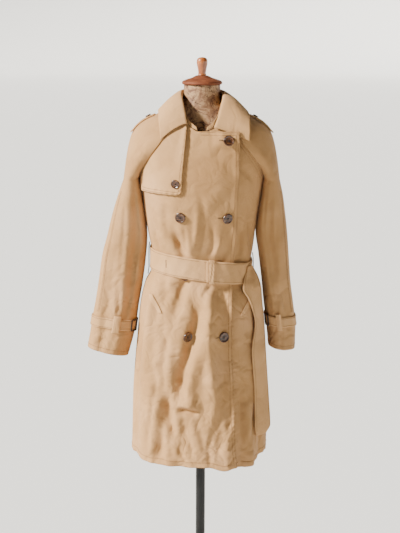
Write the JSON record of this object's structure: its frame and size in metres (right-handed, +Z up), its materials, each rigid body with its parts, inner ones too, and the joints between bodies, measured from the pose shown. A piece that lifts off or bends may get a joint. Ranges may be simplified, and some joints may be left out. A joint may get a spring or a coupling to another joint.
{
  "type": "trench coat on a dress form",
  "caption": "Belted, double-breasted knee-length trench coat with raglan sleeves, buttoned on a limbless dress form with a wooden neck cap and a black pole stand.",
  "frame": {"origin": "middle of the underside of the stand's base, on the floor", "axes": "+Z up along the pole, the coat's front faces -Y, the wearer's left is +X"},
  "size_m": [0.5505, 0.32, 1.489],
  "materials": {
    "coat_cloth": "matt cotton gabardine, twill weave",
    "horn": "polished dark horn",
    "buckle_cover": "dark leather, low sheen",
    "thread": "twisted dark thread",
    "papier_mache": "aged varnished paper pulp, cracked",
    "turned_wood": "turned hardwood, satin varnish",
    "black_steel": "black paint, satin"
  },
  "bodies": {
    "root": {"form_torso": "papier_mache", "form_neck_cap": "turned_wood", "form_finial": "turned_wood", "stand_pole": "black_steel", "stand_base": "black_steel", "front_right": "coat_cloth", "front_left": "coat_cloth", "back": "coat_cloth", "sleeve_right": "coat_cloth", "sleeve_left": "coat_cloth", "collar_fall": "coat_cloth", "collar_stand": "coat_cloth", "storm_flap": "coat_cloth", "belt": "coat_cloth", "belt_end": "coat_cloth", "belt_keeper": "coat_cloth", "belt_tail": "coat_cloth", "cuff_strap_right": "coat_cloth", "cuff_loop_right": "coat_cloth", "cuff_strap_left": "coat_cloth", "cuff_loop_left": "coat_cloth", "epaulette_right": "coat_cloth", "epaulette_left": "coat_cloth", "pocket_welt_right": "coat_cloth", "pocket_welt_left": "coat_cloth", "belt_loop_right": "thread", "belt_loop_left": "thread", "cuff_buckle_right": "buckle_cover", "cuff_buckle_left": "buckle_cover", "epaulette_button_right": "horn", "epaulette_button_left": "horn", "button_top_left": "horn", "button_chest_right": "horn", "button_chest_left": "horn", "button_hip_right": "horn", "button_hip_left": "horn", "button_flap": "horn"}
  },
  "joints": []
}
